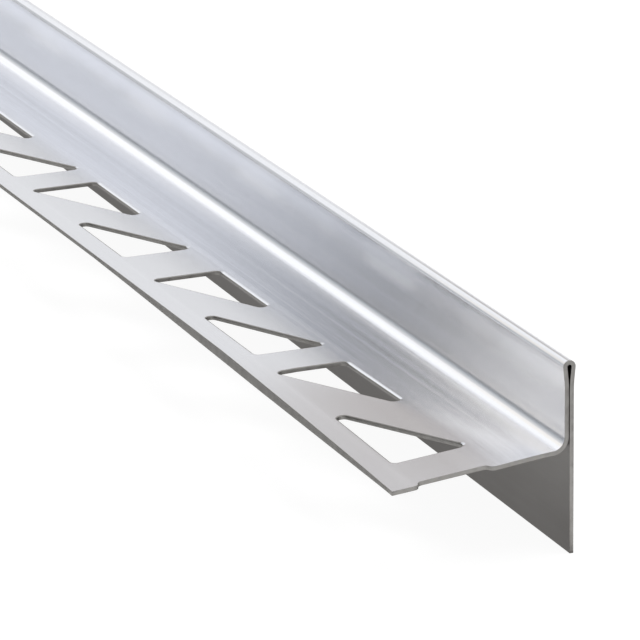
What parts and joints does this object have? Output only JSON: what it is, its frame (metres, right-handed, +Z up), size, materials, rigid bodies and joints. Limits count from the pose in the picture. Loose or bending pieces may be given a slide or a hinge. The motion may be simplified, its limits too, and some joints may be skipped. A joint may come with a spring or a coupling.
{
  "type": "shower slope wedge profile",
  "caption": "Folded stainless steel edge profile for a sloping shower floor, with a hemmed top, a leg with triangular holes and a flange that tapers along its length.",
  "frame": {"origin": "centre of the bounding box, at the floor", "axes": "+X along the length towards the deep end of the wedge, the perforated leg points to -Y, +Z up with the flange's sloping edge on the floor"},
  "size_m": [1.0002, 0.0272, 0.0273],
  "materials": {
    "stainless": "satin, drawn along the length"
  },
  "bodies": {
    "root": {"wedge_profile": "stainless"}
  },
  "joints": []
}
